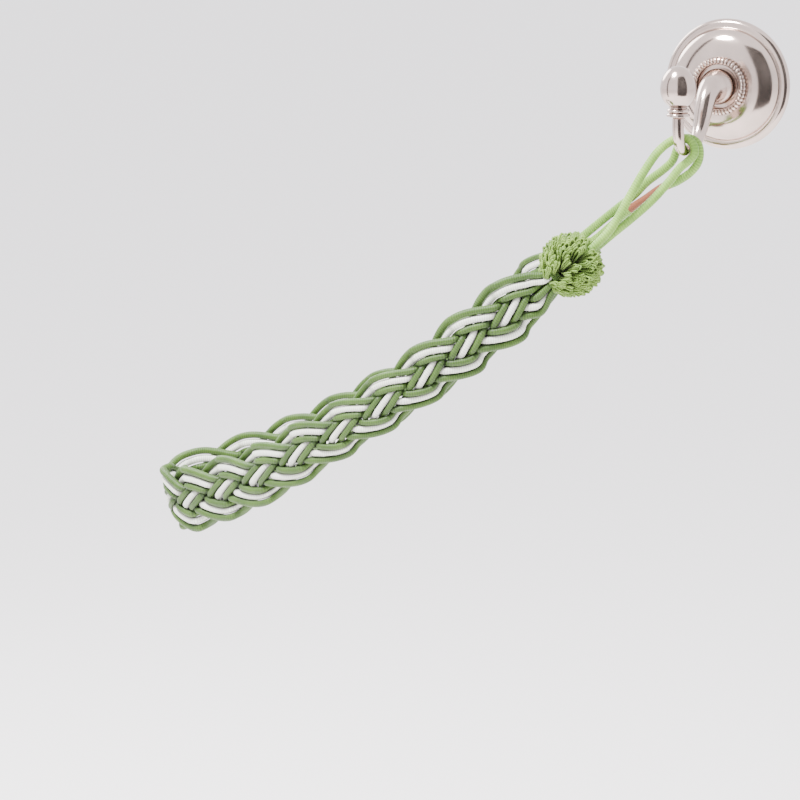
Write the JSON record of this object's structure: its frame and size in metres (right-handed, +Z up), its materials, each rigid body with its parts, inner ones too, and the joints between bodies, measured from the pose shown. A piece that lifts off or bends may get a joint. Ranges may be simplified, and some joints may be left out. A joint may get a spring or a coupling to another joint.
{
  "type": "curtain tieback with wall hook",
  "caption": "Braided cord curtain tieback closed into a long loop, with a pompom, hanging by cord loops on a U-shaped metal wall hook with a round rosette and an egg finial.",
  "frame": {"origin": "centre of the flat back of the hook's rosette, where it meets the wall", "axes": "+Z up, +Y into the wall, -Y out into the room, -X along the wall towards the tied curtain"},
  "size_m": [0.3183, 0.1282, 0.2657],
  "materials": {
    "green_cord": "satin wrapped yarn",
    "ivory_cord": "satin wrapped yarn",
    "pompom_yarn": "looped yarn",
    "hanger_cord": "twisted cord",
    "polished_nickel": "polished, slightly warm"
  },
  "bodies": {
    "root": {"braid_cord_1_lower": "green_cord", "braid_cord_1_ivory": "ivory_cord", "braid_cord_1_upper": "green_cord", "braid_cord_2_lower": "green_cord", "braid_cord_2_ivory": "ivory_cord", "braid_cord_2_upper": "green_cord", "braid_cord_3_lower": "green_cord", "braid_cord_3_ivory": "ivory_cord", "braid_cord_3_upper": "green_cord", "braid_cord_4_lower": "green_cord", "braid_cord_4_ivory": "ivory_cord", "braid_cord_4_upper": "green_cord", "front_binding": "green_cord", "back_binding": "green_cord", "pompom": "pompom_yarn", "front_hanger_loop": "hanger_cord", "back_hanger_loop": "hanger_cord", "hook_rosette": "polished_nickel", "hook_ring": "polished_nickel", "hook_arm": "polished_nickel", "hook_finial": "polished_nickel"}
  },
  "joints": []
}
